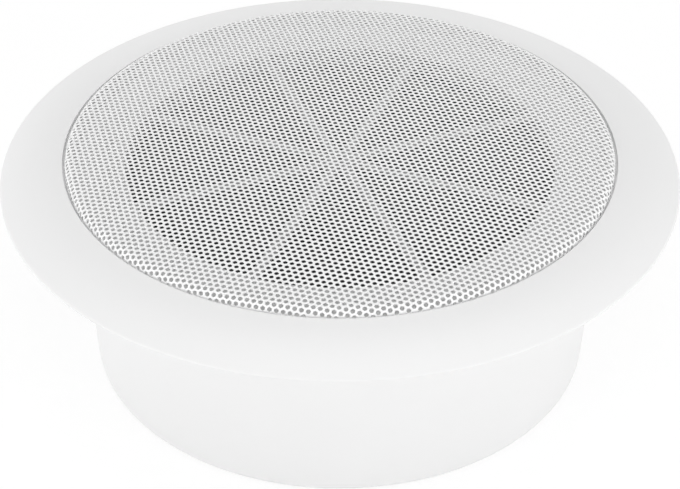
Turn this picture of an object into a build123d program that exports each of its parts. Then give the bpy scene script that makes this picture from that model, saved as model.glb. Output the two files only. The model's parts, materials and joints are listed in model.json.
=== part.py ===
"""In-ceiling loudspeaker: flanged front frame with a domed perforated grille, a cone driver
behind a spoked opening, and a tapered rear can.

Millimetres, +Z out through the grille. The origin is the centre of the can's base.
"""
import math
import os

from build123d import *

os.makedirs("parts", exist_ok=True)

# Front frame
FLANGE_DIA = 212.0
FLANGE_RISE = 7.2
FLANGE_CROWN = 1.05
FLANGE_WALL = 2.5
FLANGE_EDGE = 2.1
FLANGE_EDGE_ROUND = 0.9
FLANGE_LIP = 2.6
FLANGE_RIBS = 16
RIB_THICKNESS = 1.6
PLATE_THICKNESS = 3.4
OPENING_DIA = 134.4
SPOKE_COUNT = 8
SPOKE_WIDTH = 3.4
SPOKE_DEPTH = 2.0
HUB_DIA = 9.6
HUB_HOLE_DIA = 2.6
SEAT_DROP = 3.0
SEAT_WIDTH = 2.6
SPIGOT_LENGTH = 9.0
SPIGOT_WALL = 2.4
SPIGOT_CLEARANCE = 0.2
DRILL_LENGTH = 9.6

# Grille: pressed sheet, flat in the middle and rounder towards its rolled rim
GRILLE_DIA = 170.9
GRILLE_RISE = 8.9
GRILLE_SHEET = 0.5
GRILLE_GAP = 0.95
GRILLE_GAP_DEPTH = 1.5
GRILLE_SKIRT_SHARE = 0.1
GRILLE_BEND = 2.5
GRILLE_HOOP_WALL = 1.6
GRILLE_HOOP_HEIGHT = 2.0
GRILLE_HOOP_CLEARANCE = 0.1
DOME_BOW = 0.66
DOME_EDGE_BOW = 2.86
HOLE_PITCH = 13.8
HOLE_DIA = 8.2
HOLE_ROW_ANGLE = -15.9
HOLE_MARGIN = 1.0

# Points that shape a curved section, beside its start
SECTION_STEPS = 4

# Rear can
CAN_DEPTH = 64.0
CAN_MOUTH_DIA = 167.2
CAN_BASE_DIA = 159.0
CAN_WALL = 2.4
CAN_FLOOR = 2.4
CAN_CORNER = 1.8
FOOT_WIDTH = 8.0
FOOT_HEIGHT = 0.8
FIXING_HOLE_DIA = 4.5
FIXING_CIRCLE_DIA = 120.0
FIXING_COUNT = 4
FIXING_PAD_DIA = 12.0
FIXING_PAD_HEIGHT = 1.6
SEAL_THICKNESS = 1.0
SEAL_REBATE = 0.5
SEAL_CLEARANCE = 0.2

# Cable entry in the can's wall, on the +Y side
ENTRY_HEIGHT = 24.0
ENTRY_PAD_DIA = 22.0
ENTRY_PAD_PROUD = 1.6
ENTRY_PAD_THICKNESS = 4.8
ENTRY_HOLE_DIA = 12.0
GROMMET_BORE_DIA = 6.5
GROMMET_FLANGE_DIA = 17.0
GROMMET_FLANGE_THICKNESS = 1.8
GROMMET_CLEARANCE = 0.1

# Screws: thread and head of the can's and the driver's screws
SCREW_DIA = 3.0
SCREW_HOLE_CLEARANCE = 0.3
SCREW_THREAD_CLEARANCE = 0.05
SCREW_HEAD_DIA = 5.6
SCREW_HEAD_HEIGHT = 2.0
SCREW_BOSS_DIA = 8.0
SCREW_COVER = 1.2
CAN_SCREW_COUNT = 4
CAN_SCREW_LENGTH = 5.6
CAN_SCREW_DROP = 5.0
CAN_SCREW_ANGLE = 0.0
SPOT_FACE_CLEARANCE = 0.6
DRIVER_SCREW_COUNT = 4
DRIVER_SCREW_LENGTH = 7.4
DRIVER_SCREW_ANGLE = 45.0

# Driver
GASKET_THICKNESS = 2.0
GASKET_CLEARANCE = 0.2
BASKET_SHEET = 1.2
BASKET_DIA = 149.0
BASKET_MOUTH_DIA = 129.0
BASKET_ARM_WIDTH = 16.0
BASKET_ARM_COUNT = 4
SPIDER_LEDGE_DIA = 80.0
SPIDER_LEDGE_WIDTH = 6.5
SPIDER_LEDGE_DEPTH = 18.5
BASKET_BASE_DIA = 62.0
BASKET_BASE_HOLE_DIA = 34.0
BASKET_DEPTH = 28.8
TOP_PLATE_DIA = 70.0
TOP_PLATE_THICKNESS = 5.0
MAGNET_DIA = 84.0
MAGNET_BORE_DIA = 36.0
MAGNET_HEIGHT = 13.0
MAGNET_CHAMFER = 1.0
BACK_PLATE_DIA = 74.0
BACK_PLATE_THICKNESS = 5.0
POLE_DIA = 24.0
POLE_VENT_DIA = 7.0
COIL_CLEARANCE = 0.4
FORMER_WALL = 0.25
FORMER_LENGTH = 23.0
COIL_THICKNESS = 0.55
COIL_HEIGHT = 11.0
CONE_DIA = 111.0
CONE_LIP = 2.6
CONE_DROP = 1.8
CONE_DEPTH = 15.0
CONE_FLARE = 0.85
CONE_PAPER = 0.7
GLUE_CLEARANCE = 0.05
CAP_DIA = 36.0
CAP_RISE = 6.0
CAP_BOW = 1.5
CAP_THICKNESS = 0.5
ROLL_HEIGHT = 3.0
SURROUND_THICKNESS = 0.8
SURROUND_FOOT = 2.2
SPIDER_THICKNESS = 0.5
SPIDER_WAVES = 3
SPIDER_WAVE_HEIGHT = 1.1
SPIDER_COLLAR = 2.0

# Driver terminals
LUG_WIDTH = 9.0
LUG_HEIGHT = 9.0
LUG_RADIUS = 67.0
BOARD_WIDTH = 22.0
BOARD_HEIGHT = 15.0
BOARD_THICKNESS = 1.6
BOARD_GAP = 0.2
RIVET_DIA = 3.0
RIVET_CLEARANCE = 0.05
RIVET_HEAD_DIA = 5.4
RIVET_HEAD_HEIGHT = 0.9
TAG_SPACING = 15.0
TAG_WIDTH = 4.0
TAG_LENGTH = 14.0
TAG_THICKNESS = 0.6
TAG_OVERHANG = 6.0

# Terminal block on the can's floor
BLOCK_WIDTH = 20.0
BLOCK_LENGTH = 15.0
BLOCK_HEIGHT = 13.0
BLOCK_CORNER = 1.6
BLOCK_Y = 64.0
BLOCK_POLE_SPACING = 11.0
BLOCK_TUNNEL_DIA = 3.4
BLOCK_TUNNEL_HEIGHT = 4.6
BLOCK_WELL_DIA = 4.4
BLOCK_PAD_HEIGHT = 3.0
CLAMP_SCREW_DIA = 3.6
CLAMP_SCREW_RECESS = 0.6

# Leads: what each run of their routes measures
BEND_SHARE = 0.45
WIRE_DIA = 1.6
LEAD_TUCK = 2.0
LEAD_OUT = 13.0
LEAD_CLIMB = 13.7
LEAD_LEAN = 0.5
LEAD_SPREAD = 0.7
LEAD_DROP = 12.0
TINSEL_DIA = 0.9
TINSEL_CLEARANCE = 0.12
TINSEL_REACH = 25.5
TINSEL_START = 4.0
TINSEL_SAG = 3.0

# Levels, from the base of the can
ceiling_z = CAN_DEPTH
plate_front_z = ceiling_z + PLATE_THICKNESS
flange_top_z = ceiling_z + FLANGE_RISE
grille_top_z = plate_front_z + GRILLE_RISE
seat_z = ceiling_z - SEAT_DROP
rebate_z = ceiling_z + SEAL_REBATE
can_rim_z = rebate_z - SEAL_THICKNESS
floor_z = FOOT_HEIGHT + CAN_FLOOR
can_screw_z = ceiling_z - CAN_SCREW_DROP
basket_front_z = seat_z - GASKET_THICKNESS
ledge_z = basket_front_z - SPIDER_LEDGE_DEPTH
basket_base_z = basket_front_z - BASKET_DEPTH
top_plate_z = basket_base_z - BASKET_SHEET
magnet_z = top_plate_z - TOP_PLATE_THICKNESS
back_plate_z = magnet_z - MAGNET_HEIGHT
yoke_base_z = back_plate_z - BACK_PLATE_THICKNESS
cone_lip_z = basket_front_z - CONE_DROP
cone_neck_z = cone_lip_z - CONE_DEPTH
coil_z = top_plate_z - TOP_PLATE_THICKNESS / 2 - COIL_HEIGHT / 2

# Radii
flange_r = FLANGE_DIA / 2
grille_r = GRILLE_DIA / 2
groove_r = grille_r + GRILLE_GAP
root_r = groove_r + FLANGE_WALL
opening_r = OPENING_DIA / 2
boss_circle_r = opening_r + SCREW_BOSS_DIA / 2
pole_r = POLE_DIA / 2
former_in_r = pole_r + COIL_CLEARANCE
former_out_r = former_in_r + FORMER_WALL
coil_out_r = former_out_r + COIL_THICKNESS
gap_r = coil_out_r + COIL_CLEARANCE
cone_r = CONE_DIA / 2
neck_r = former_out_r + GLUE_CLEARANCE
thread_r = SCREW_DIA / 2 - SCREW_THREAD_CLEARANCE
pass_r = SCREW_DIA / 2 + SCREW_HOLE_CLEARANCE


def can_outer(z):
    """Outer radius of the tapered can at height z."""
    return (CAN_BASE_DIA + (CAN_MOUTH_DIA - CAN_BASE_DIA) * z / CAN_DEPTH) / 2


def can_inner(z):
    """Inner radius of the can at height z."""
    return can_outer(z) - CAN_WALL


def dome_z(radius):
    """Height of the grille's outer skin, which falls slowly at first and faster near the rim."""
    share = radius / grille_r
    return grille_top_z - DOME_BOW * share**2 - DOME_EDGE_BOW * share**4


def flange_arc(drop):
    """Crowned slope of the flange, lowered by drop, inside a BuildLine."""
    return SagittaArc(
        (groove_r, flange_top_z - drop), (flange_r, ceiling_z + FLANGE_EDGE - drop), FLANGE_CROWN
    )


def cone_z(radius):
    """Height of the paper cone's back, steep at the neck and flatter towards its lip."""
    share = (radius - neck_r) / (cone_r - CONE_LIP - neck_r)
    return cone_neck_z + CONE_DEPTH * share**CONE_FLARE


# Front frame: plate, groove, hoop and flange in one turned section
hoop_out_r = grille_r - GRILLE_SHEET - GRILLE_HOOP_CLEARANCE
hoop_in_r = hoop_out_r - GRILLE_HOOP_WALL
step_r = grille_r + GRILLE_GAP * GRILLE_SKIRT_SHARE
step_z = flange_top_z - GRILLE_GAP_DEPTH
spigot_end_z = ceiling_z - SPIGOT_LENGTH
rebate_r = can_outer(ceiling_z) + SEAL_CLEARANCE
spigot_top_r = can_inner(rebate_z) - SPIGOT_CLEARANCE
spigot_end_r = can_inner(spigot_end_z) - SPIGOT_CLEARANCE
hollow_in_r = max(root_r, rebate_r + FLANGE_WALL)
hollow_out_r = flange_r - FLANGE_LIP

with BuildPart() as front_frame:
    with BuildSketch(Plane.XZ):
        with BuildLine():
            slope = flange_arc(0)
            Polyline(
                slope @ 1,
                (flange_r, ceiling_z),
                (rebate_r, ceiling_z),
                (rebate_r, rebate_z),
                (spigot_top_r, rebate_z),
                (spigot_end_r, spigot_end_z),
                (spigot_end_r - SPIGOT_WALL, spigot_end_z),
                (spigot_top_r - SPIGOT_WALL, ceiling_z),
                (opening_r + SEAT_WIDTH, ceiling_z),
                (opening_r + SEAT_WIDTH, seat_z),
                (opening_r, seat_z),
                (opening_r, plate_front_z),
                (hoop_in_r, plate_front_z),
                (hoop_in_r, plate_front_z + GRILLE_HOOP_HEIGHT),
                (hoop_out_r, plate_front_z + GRILLE_HOOP_HEIGHT),
                (hoop_out_r, plate_front_z),
                (step_r, plate_front_z),
                (step_r, step_z),
                (groove_r, step_z),
                slope @ 0,
            )
        section = make_face()
        fillet(section.vertices().sort_by(Axis.X)[-2:], FLANGE_EDGE_ROUND)
    revolve(axis=Axis.Z)
    # Hollow under the flange, which leaves the lip that meets the ceiling
    with BuildSketch(Plane.XZ) as hollow:
        with BuildLine():
            under = flange_arc(FLANGE_WALL)
            Polyline(
                under @ 1,
                (flange_r, ceiling_z - FLANGE_RISE),
                (groove_r, ceiling_z - FLANGE_RISE),
                under @ 0,
            )
        make_face()
        with Locations(((hollow_in_r + hollow_out_r) / 2, ceiling_z)):
            Rectangle(hollow_out_r - hollow_in_r, 2 * FLANGE_RISE, mode=Mode.INTERSECT)
    revolve(axis=Axis.Z, mode=Mode.SUBTRACT)
    # Ribs under the flange
    for index in range(FLANGE_RIBS):
        with BuildSketch(Plane.XZ.rotated((0, 0, index * 360 / FLANGE_RIBS))):
            with BuildLine():
                under = flange_arc(FLANGE_WALL / 2)
                Polyline(
                    under @ 1,
                    (flange_r, ceiling_z),
                    (groove_r, ceiling_z),
                    under @ 0,
                )
            make_face()
            with Locations(((hollow_in_r + hollow_out_r) / 2, ceiling_z)):
                Rectangle(hollow_out_r - hollow_in_r + FLANGE_LIP / 2, 2 * FLANGE_RISE, mode=Mode.INTERSECT)
        extrude(amount=RIB_THICKNESS / 2, both=True)
    # Spokes and hub across the opening
    with BuildSketch(Plane.XY.offset(plate_front_z)):
        with PolarLocations(0, SPOKE_COUNT // 2, 180 / SPOKE_COUNT, 180, endpoint=False):
            Rectangle(OPENING_DIA + SEAT_WIDTH, SPOKE_WIDTH)
        Circle(HUB_DIA / 2)
        Circle(HUB_HOLE_DIA / 2, mode=Mode.SUBTRACT)
    extrude(amount=-SPOKE_DEPTH)
    # Bosses for the driver's screws
    with BuildSketch(Plane.XY.offset(seat_z)):
        with PolarLocations(boss_circle_r, DRIVER_SCREW_COUNT, DRIVER_SCREW_ANGLE):
            Circle(SCREW_BOSS_DIA / 2)
    extrude(until=Until.NEXT)
    with BuildSketch(Plane.XY.offset(seat_z)):
        with PolarLocations(boss_circle_r, DRIVER_SCREW_COUNT, DRIVER_SCREW_ANGLE):
            Circle(SCREW_DIA / 2)
    extrude(amount=SEAT_DROP + PLATE_THICKNESS - SCREW_COVER, mode=Mode.SUBTRACT)
    # Thread holes for the can's screws, through the spigot
    with Locations((0, 0, can_screw_z)):
        with PolarLocations(spigot_top_r, CAN_SCREW_COUNT, CAN_SCREW_ANGLE):
            Cylinder(SCREW_DIA / 2, DRILL_LENGTH, rotation=(0, 90, 0), mode=Mode.SUBTRACT)
front_frame.part.label = "front_frame"
export_step(front_frame.part, "parts/front_frame.step")

# Grille: domed sheet with a rolled rim, pierced on a staggered lattice
with BuildPart() as grille:
    with BuildSketch(Plane.XZ):
        with BuildLine():
            stations = [grille_r * step / SECTION_STEPS for step in range(SECTION_STEPS + 1)]
            ends = [(1, 0), (1, -(2 * DOME_BOW + 4 * DOME_EDGE_BOW) / grille_r)]
            narrow = 1 - GRILLE_SHEET / grille_r
            skin = Spline([(r, dome_z(r)) for r in stations], tangents=ends)
            lining = Spline([(r * narrow, dome_z(r) - GRILLE_SHEET) for r in stations], tangents=ends)
            Polyline(
                skin @ 1,
                (grille_r, plate_front_z),
                (grille_r - GRILLE_SHEET, plate_front_z),
                lining @ 1,
            )
            Line(skin @ 0, lining @ 0)
        section = make_face()
        rim = section.vertices().filter_by(lambda vertex: vertex.Y > plate_front_z).sort_by(Axis.X)
        fillet(rim[-2:-1], GRILLE_BEND - GRILLE_SHEET)
        fillet(rim[-1:], GRILLE_BEND)
    revolve(axis=Axis.Z)
    row = math.radians(HOLE_ROW_ANGLE)
    slant = math.radians(HOLE_ROW_ANGLE + 60)
    reach = grille_r - GRILLE_BEND - HOLE_MARGIN - HOLE_DIA / 2
    steps = math.ceil(grille_r / HOLE_PITCH) * 2
    holes = []
    for i in range(-steps, steps + 1):
        for j in range(-steps, steps + 1):
            along = HOLE_PITCH * (i + 1 / 3)
            across = HOLE_PITCH * (j + 1 / 3)
            x = along * math.cos(row) + across * math.cos(slant)
            y = along * math.sin(row) + across * math.sin(slant)
            if math.hypot(x, y) <= reach:
                holes.append((x, y))
    with BuildSketch(Plane.XY.offset(plate_front_z)):
        with Locations(*holes):
            Circle(HOLE_DIA / 2)
    extrude(amount=GRILLE_RISE + GRILLE_SHEET, mode=Mode.SUBTRACT)
grille.part.label = "grille"
export_step(grille.part, "parts/grille.step")

# Rear can: tapered drum on a foot ring, with fixing holes in its floor
foot_in_r = can_outer(0) - FOOT_WIDTH
entry_out_y = can_outer(ENTRY_HEIGHT) + ENTRY_PAD_PROUD
entry_plane = Plane.XZ.offset(-entry_out_y)
spot_r = SCREW_HEAD_DIA / 2 + SPOT_FACE_CLEARANCE
can_screw_seat_r = math.sqrt(can_outer(can_screw_z - spot_r) ** 2 - spot_r**2)
block_z = floor_z + BLOCK_PAD_HEIGHT

with BuildPart() as rear_can:
    with BuildSketch(Plane.XZ):
        with BuildLine():
            Polyline(
                (0, FOOT_HEIGHT),
                (foot_in_r, FOOT_HEIGHT),
                (foot_in_r, 0),
                (can_outer(0), 0),
                (can_outer(can_rim_z), can_rim_z),
                (can_inner(can_rim_z), can_rim_z),
                (can_inner(floor_z), floor_z),
                (0, floor_z),
                close=True,
            )
        wall = make_face()
        corners = [(can_outer(0), 0), (can_inner(floor_z), floor_z)]
        for corner in corners:
            fillet(wall.vertices().sort_by_distance(corner)[0], CAN_CORNER)
    revolve(axis=Axis.Z)
    with BuildSketch(Plane.XY.offset(floor_z)):
        with PolarLocations(FIXING_CIRCLE_DIA / 2, FIXING_COUNT, 180 / FIXING_COUNT):
            Circle(FIXING_PAD_DIA / 2)
    extrude(amount=FIXING_PAD_HEIGHT)
    with BuildSketch(Plane.XY.offset(FOOT_HEIGHT)):
        with PolarLocations(FIXING_CIRCLE_DIA / 2, FIXING_COUNT, 180 / FIXING_COUNT):
            Circle(FIXING_HOLE_DIA / 2)
    extrude(amount=CAN_FLOOR + FIXING_PAD_HEIGHT, mode=Mode.SUBTRACT)
    # Pad under the terminal block, with its thread hole
    with BuildSketch(Plane.XY.offset(floor_z)):
        with Locations((0, BLOCK_Y)):
            Rectangle(BLOCK_WIDTH, BLOCK_LENGTH)
    extrude(amount=BLOCK_PAD_HEIGHT)
    with BuildSketch(Plane.XY.offset(block_z)):
        with Locations((0, BLOCK_Y)):
            Circle(SCREW_DIA / 2)
    extrude(amount=SCREW_COVER - BLOCK_PAD_HEIGHT - CAN_FLOOR, mode=Mode.SUBTRACT)
    # Cable entry
    with BuildSketch(entry_plane):
        with Locations((0, ENTRY_HEIGHT)):
            Circle(ENTRY_PAD_DIA / 2)
    extrude(amount=ENTRY_PAD_THICKNESS)
    with BuildSketch(entry_plane):
        with Locations((0, ENTRY_HEIGHT)):
            Circle(ENTRY_HOLE_DIA / 2)
    extrude(amount=ENTRY_PAD_THICKNESS, mode=Mode.SUBTRACT)
    # Holes and flat spots for the screws under the flange
    with Locations((0, 0, can_screw_z)):
        with PolarLocations(can_screw_seat_r, CAN_SCREW_COUNT, CAN_SCREW_ANGLE):
            Cylinder(pass_r, DRILL_LENGTH, rotation=(0, 90, 0), mode=Mode.SUBTRACT)
        with PolarLocations(can_screw_seat_r + CAN_WALL / 2, CAN_SCREW_COUNT, CAN_SCREW_ANGLE):
            Cylinder(spot_r, CAN_WALL, rotation=(0, 90, 0), mode=Mode.SUBTRACT)
rear_can.part.label = "rear_can"
export_step(rear_can.part, "parts/rear_can.step")

# Foam ring between the can's rim and the frame
with BuildPart() as can_seal:
    with BuildSketch(Plane.XY.offset(can_rim_z)):
        Circle(can_outer(can_rim_z))
        Circle(can_inner(can_rim_z), mode=Mode.SUBTRACT)
    extrude(amount=SEAL_THICKNESS)
can_seal.part.label = "can_seal"
export_step(can_seal.part, "parts/can_seal.step")

# Screws through the can's wall into the spigot
with BuildPart() as can_screws:
    with Locations((0, 0, can_screw_z)):
        with PolarLocations(can_screw_seat_r + SCREW_HEAD_HEIGHT / 2, CAN_SCREW_COUNT, CAN_SCREW_ANGLE):
            Cylinder(SCREW_HEAD_DIA / 2, SCREW_HEAD_HEIGHT, rotation=(0, 90, 0))
        with PolarLocations(can_screw_seat_r - CAN_SCREW_LENGTH / 2, CAN_SCREW_COUNT, CAN_SCREW_ANGLE):
            Cylinder(thread_r, CAN_SCREW_LENGTH, rotation=(0, 90, 0))
can_screws.part.label = "can_screws"
export_step(can_screws.part, "parts/can_screws.step")

# Foam ring between the driver and the frame
gasket_in_r = opening_r + GASKET_CLEARANCE
gasket_out_r = BASKET_DIA / 2 - GASKET_CLEARANCE
with BuildPart() as driver_gasket:
    with BuildSketch(Plane.XY.offset(basket_front_z)):
        Circle(gasket_out_r)
        Circle(gasket_in_r, mode=Mode.SUBTRACT)
        with PolarLocations(boss_circle_r, DRIVER_SCREW_COUNT, DRIVER_SCREW_ANGLE):
            Circle(pass_r, mode=Mode.SUBTRACT)
    extrude(amount=GASKET_THICKNESS)
driver_gasket.part.label = "driver_gasket"
export_step(driver_gasket.part, "parts/driver_gasket.step")

# Screws that hold the driver to the frame
basket_back_z = basket_front_z - BASKET_SHEET
with BuildPart() as driver_screws:
    with BuildSketch(Plane.XY.offset(basket_back_z)):
        with PolarLocations(boss_circle_r, DRIVER_SCREW_COUNT, DRIVER_SCREW_ANGLE):
            Circle(SCREW_HEAD_DIA / 2)
    extrude(amount=-SCREW_HEAD_HEIGHT)
    with BuildSketch(Plane.XY.offset(basket_back_z)):
        with PolarLocations(boss_circle_r, DRIVER_SCREW_COUNT, DRIVER_SCREW_ANGLE):
            Circle(thread_r)
    extrude(amount=DRIVER_SCREW_LENGTH)
driver_screws.part.label = "driver_screws"
export_step(driver_screws.part, "parts/driver_screws.step")

# Basket: pressed chassis with a rim, arms, a ledge for the spider and a seat for the magnet
mouth_r = BASKET_MOUTH_DIA / 2
ledge_out_r = SPIDER_LEDGE_DIA / 2
ledge_in_r = ledge_out_r - SPIDER_LEDGE_WIDTH
rim_mid_r = (mouth_r + BASKET_DIA / 2) / 2
lug_mid_z = basket_back_z - LUG_HEIGHT / 2
lug_plane = Plane.XZ.offset(-LUG_RADIUS)

with BuildPart() as basket:
    with BuildSketch(Plane.XZ):
        with BuildLine():
            Polyline(
                (BASKET_DIA / 2, basket_front_z),
                (mouth_r, basket_front_z),
                (ledge_out_r, ledge_z),
                (ledge_in_r, ledge_z),
                (BASKET_BASE_DIA / 2, basket_base_z),
                (BASKET_BASE_HOLE_DIA / 2, basket_base_z),
            )
            offset(amount=BASKET_SHEET, side=Side.LEFT, kind=Kind.INTERSECTION)
        make_face()
    revolve(axis=Axis.Z)
    with BuildSketch(Plane.XY.offset(ledge_z)):
        Circle(mouth_r - BASKET_SHEET)
        Circle(ledge_out_r + BASKET_SHEET, mode=Mode.SUBTRACT)
        with PolarLocations(0, BASKET_ARM_COUNT // 2, DRIVER_SCREW_ANGLE, 180, endpoint=False):
            Rectangle(BASKET_DIA, BASKET_ARM_WIDTH, mode=Mode.SUBTRACT)
    extrude(amount=SPIDER_LEDGE_DEPTH, mode=Mode.SUBTRACT)
    with BuildSketch(Plane.XY.offset(basket_back_z)):
        with PolarLocations(boss_circle_r, DRIVER_SCREW_COUNT, DRIVER_SCREW_ANGLE):
            Circle(pass_r)
    extrude(amount=BASKET_SHEET, mode=Mode.SUBTRACT)
    # Lug bent down from the rim for the terminal board
    with BuildSketch(Plane.XY.offset(basket_back_z)):
        with BuildLine():
            Polyline(
                (-LUG_WIDTH / 2, LUG_RADIUS),
                (LUG_WIDTH / 2, LUG_RADIUS),
                (LUG_WIDTH / 2, rim_mid_r),
                (-LUG_WIDTH / 2, rim_mid_r),
                close=True,
            )
        make_face()
    extrude(amount=BASKET_SHEET)
    with BuildSketch(lug_plane):
        with Locations((0, basket_front_z)):
            Rectangle(LUG_WIDTH, LUG_HEIGHT + BASKET_SHEET, align=(Align.CENTER, Align.MAX))
        with Locations((0, lug_mid_z)):
            Circle(RIVET_DIA / 2 + RIVET_CLEARANCE, mode=Mode.SUBTRACT)
    extrude(amount=-BASKET_SHEET)
basket.part.label = "basket"
export_step(basket.part, "parts/basket.step")

# Rubber half roll between the cone's lip and the basket's rim
cone_lip_top_z = cone_lip_z + CONE_PAPER
roll_in_r = cone_r + GLUE_CLEARANCE
with BuildPart() as surround:
    with BuildSketch(Plane.XZ):
        with BuildLine():
            Line((cone_r - CONE_LIP, cone_lip_top_z), (roll_in_r, cone_lip_top_z))
            ThreePointArc(
                (roll_in_r, cone_lip_top_z),
                ((roll_in_r + mouth_r) / 2, basket_front_z + ROLL_HEIGHT),
                (mouth_r, basket_front_z),
            )
            Line((mouth_r, basket_front_z), (mouth_r + SURROUND_FOOT, basket_front_z))
            offset(amount=SURROUND_THICKNESS, side=Side.LEFT)
        make_face()
    revolve(axis=Axis.Z)
surround.part.label = "surround"
export_step(surround.part, "parts/surround.step")

# Paper cone with a flat lip
lip_in_r = cone_r - CONE_LIP
cone_width = lip_in_r - neck_r
cone_steps = [step / SECTION_STEPS for step in range(SECTION_STEPS + 1)]
cone_stations = [neck_r + cone_width * share for share in cone_steps]
with BuildPart() as cone:
    with BuildSketch(Plane.XZ):
        with BuildLine():
            back = Spline([(r, cone_z(r)) for r in cone_stations])
            front = Spline([(r, cone_z(r) + CONE_PAPER) for r in cone_stations])
            Line(back @ 0, front @ 0)
            Polyline(back @ 1, (cone_r, cone_lip_z), (cone_r, cone_lip_top_z), front @ 1)
        make_face()
    revolve(axis=Axis.Z)
cone.part.label = "cone"
export_step(cone.part, "parts/cone.step")

# Dust cap over the coil
cap_r = CAP_DIA / 2
cap_z = cone_z(cap_r) + CONE_PAPER + GLUE_CLEARANCE
with BuildPart() as dust_cap:
    with BuildSketch(Plane.XZ):
        with BuildLine():
            under = SagittaArc((0, cap_z + CAP_RISE), (cap_r, cap_z), CAP_BOW)
            over = SagittaArc(
                (0, cap_z + CAP_RISE + CAP_THICKNESS), (cap_r, cap_z + CAP_THICKNESS), CAP_BOW
            )
            Line(under @ 0, over @ 0)
            Line(under @ 1, over @ 1)
        make_face()
    revolve(axis=Axis.Z)
dust_cap.part.label = "dust_cap"
export_step(dust_cap.part, "parts/dust_cap.step")

# Spider: corrugated disc from the coil former to the basket's ledge
wave_in_r = neck_r + SPIDER_COLLAR
half_wave = (ledge_in_r - wave_in_r) / (2 * SPIDER_WAVES)
with BuildPart() as spider:
    with BuildSketch(Plane.XZ):
        with BuildLine():
            Line((neck_r, ledge_z), (wave_in_r, ledge_z))
            for index in range(2 * SPIDER_WAVES):
                start = wave_in_r + index * half_wave
                swing = SPIDER_WAVE_HEIGHT * (-1) ** index
                ThreePointArc(
                    (start, ledge_z), (start + half_wave / 2, ledge_z + swing), (start + half_wave, ledge_z)
                )
            Line((ledge_in_r, ledge_z), (ledge_out_r - SPIDER_THICKNESS, ledge_z))
            offset(amount=SPIDER_THICKNESS, side=Side.LEFT)
        make_face()
    revolve(axis=Axis.Z)
spider.part.label = "spider"
export_step(spider.part, "parts/spider.step")


def tube(outer_r, inner_r, base_z, height):
    """Ring section standing on base_z, inside a BuildPart."""
    with BuildSketch(Plane.XY.offset(base_z)) as ring:
        Circle(outer_r)
        Circle(inner_r, mode=Mode.SUBTRACT)
    extrude(ring.sketch, amount=height)


# Voice coil and its former, which run in the magnet's gap
with BuildPart() as coil_former:
    tube(former_out_r, former_in_r, coil_z, FORMER_LENGTH)
coil_former.part.label = "coil_former"
export_step(coil_former.part, "parts/coil_former.step")

with BuildPart() as voice_coil:
    tube(coil_out_r, former_out_r + GLUE_CLEARANCE, coil_z, COIL_HEIGHT)
voice_coil.part.label = "voice_coil"
export_step(voice_coil.part, "parts/voice_coil.step")

# Magnet circuit: front plate, ferrite ring, back plate with its pole
with BuildPart() as top_plate:
    tube(TOP_PLATE_DIA / 2, gap_r, magnet_z, TOP_PLATE_THICKNESS)
top_plate.part.label = "top_plate"
export_step(top_plate.part, "parts/top_plate.step")

with BuildPart() as magnet:
    tube(MAGNET_DIA / 2, MAGNET_BORE_DIA / 2, back_plate_z, MAGNET_HEIGHT)
    chamfer(magnet.edges().filter_by(GeomType.CIRCLE).sort_by(lambda edge: edge.radius)[-2:], MAGNET_CHAMFER)
magnet.part.label = "magnet"
export_step(magnet.part, "parts/magnet.step")

with BuildPart() as yoke:
    tube(BACK_PLATE_DIA / 2, POLE_VENT_DIA / 2, yoke_base_z, BACK_PLATE_THICKNESS)
    tube(pole_r, POLE_VENT_DIA / 2, yoke_base_z, top_plate_z - yoke_base_z)
yoke.part.label = "yoke"
export_step(yoke.part, "parts/yoke.step")

# Terminal board on the inner side of the basket's lug, with its rivet and solder tags
board_in_y = LUG_RADIUS - BOARD_THICKNESS
lug_out_y = LUG_RADIUS + BASKET_SHEET
board_top_z = basket_back_z - BOARD_GAP
board_base_z = board_top_z - BOARD_HEIGHT
tag_base_z = board_base_z - TAG_OVERHANG
tag_mid_y = LUG_RADIUS + TAG_THICKNESS / 2

with BuildPart() as terminal_board:
    with BuildSketch(Plane.XZ.offset(-board_in_y)):
        with Locations((0, (board_top_z + board_base_z) / 2)):
            Rectangle(BOARD_WIDTH, BOARD_HEIGHT)
        with Locations((0, lug_mid_z)):
            Circle(RIVET_DIA / 2 + RIVET_CLEARANCE, mode=Mode.SUBTRACT)
    extrude(amount=-BOARD_THICKNESS)
terminal_board.part.label = "terminal_board"
export_step(terminal_board.part, "parts/terminal_board.step")

with BuildPart() as board_rivet:
    with BuildSketch(Plane.XZ.offset(RIVET_HEAD_HEIGHT - board_in_y)):
        with Locations((0, lug_mid_z)):
            Circle(RIVET_DIA / 2)
    extrude(amount=-2 * RIVET_HEAD_HEIGHT - BASKET_SHEET - BOARD_THICKNESS)
    for face_y, way in ((board_in_y, 1), (lug_out_y, -1)):
        with BuildSketch(Plane.XZ.offset(-face_y)):
            with Locations((0, lug_mid_z)):
                Circle(RIVET_HEAD_DIA / 2)
        extrude(amount=way * RIVET_HEAD_HEIGHT)
board_rivet.part.label = "board_rivet"
export_step(board_rivet.part, "parts/board_rivet.step")

with BuildPart() as solder_tags:
    with BuildSketch(Plane.XZ.offset(-LUG_RADIUS)):
        with Locations((-TAG_SPACING / 2, tag_base_z), (TAG_SPACING / 2, tag_base_z)):
            Rectangle(TAG_WIDTH, TAG_LENGTH, align=(Align.CENTER, Align.MIN))
    extrude(amount=-TAG_THICKNESS)
solder_tags.part.label = "solder_tags"
export_step(solder_tags.part, "parts/solder_tags.step")

# Terminal block with its clamp screws and its fixing screw
tunnel_z = block_z + BLOCK_TUNNEL_HEIGHT
block_top_z = block_z + BLOCK_HEIGHT
pole_x = BLOCK_POLE_SPACING / 2
head_well_r = SCREW_HEAD_DIA / 2 + SCREW_HOLE_CLEARANCE
head_seat_z = block_z + BLOCK_HEIGHT / 2
clamp_base_z = tunnel_z + WIRE_DIA / 2 + GLUE_CLEARANCE

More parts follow.
